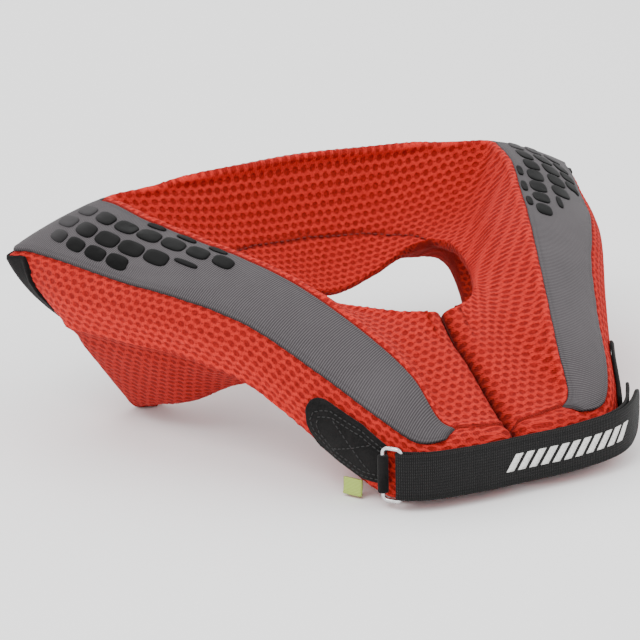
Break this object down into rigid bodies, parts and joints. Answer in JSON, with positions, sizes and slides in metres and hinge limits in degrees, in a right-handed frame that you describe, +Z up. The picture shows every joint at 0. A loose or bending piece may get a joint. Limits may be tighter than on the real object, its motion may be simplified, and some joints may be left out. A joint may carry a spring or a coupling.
{
  "type": "padded neck brace",
  "caption": "Padded foam neck brace with a split collar, raised wide end, sewn top band and a webbing closing strap through a steel ring.",
  "frame": {"origin": "on the floor that the brace rests on, below the middle of its bounding box", "axes": "+X across the wearer, +Y from the strap end to the wide end, +Z up"},
  "size_m": [0.3024, 0.2188, 0.1037],
  "materials": {
    "air_mesh": "red knitted honeycomb air mesh",
    "twill": "grey twill with raised black rubber cells",
    "suede": "black suede, napped",
    "webbing": "black ribbed webbing",
    "steel": "bright nickel-plated wire",
    "lime_tape": "lime ribbed tape"
  },
  "bodies": {
    "root": {"collar_body": "air_mesh", "top_band": "twill", "end_facing": "suede", "ring_tab": "suede", "far_patch": "suede", "strap_ring": "steel", "strap": "webbing", "label_tag": "lime_tape"}
  },
  "joints": []
}
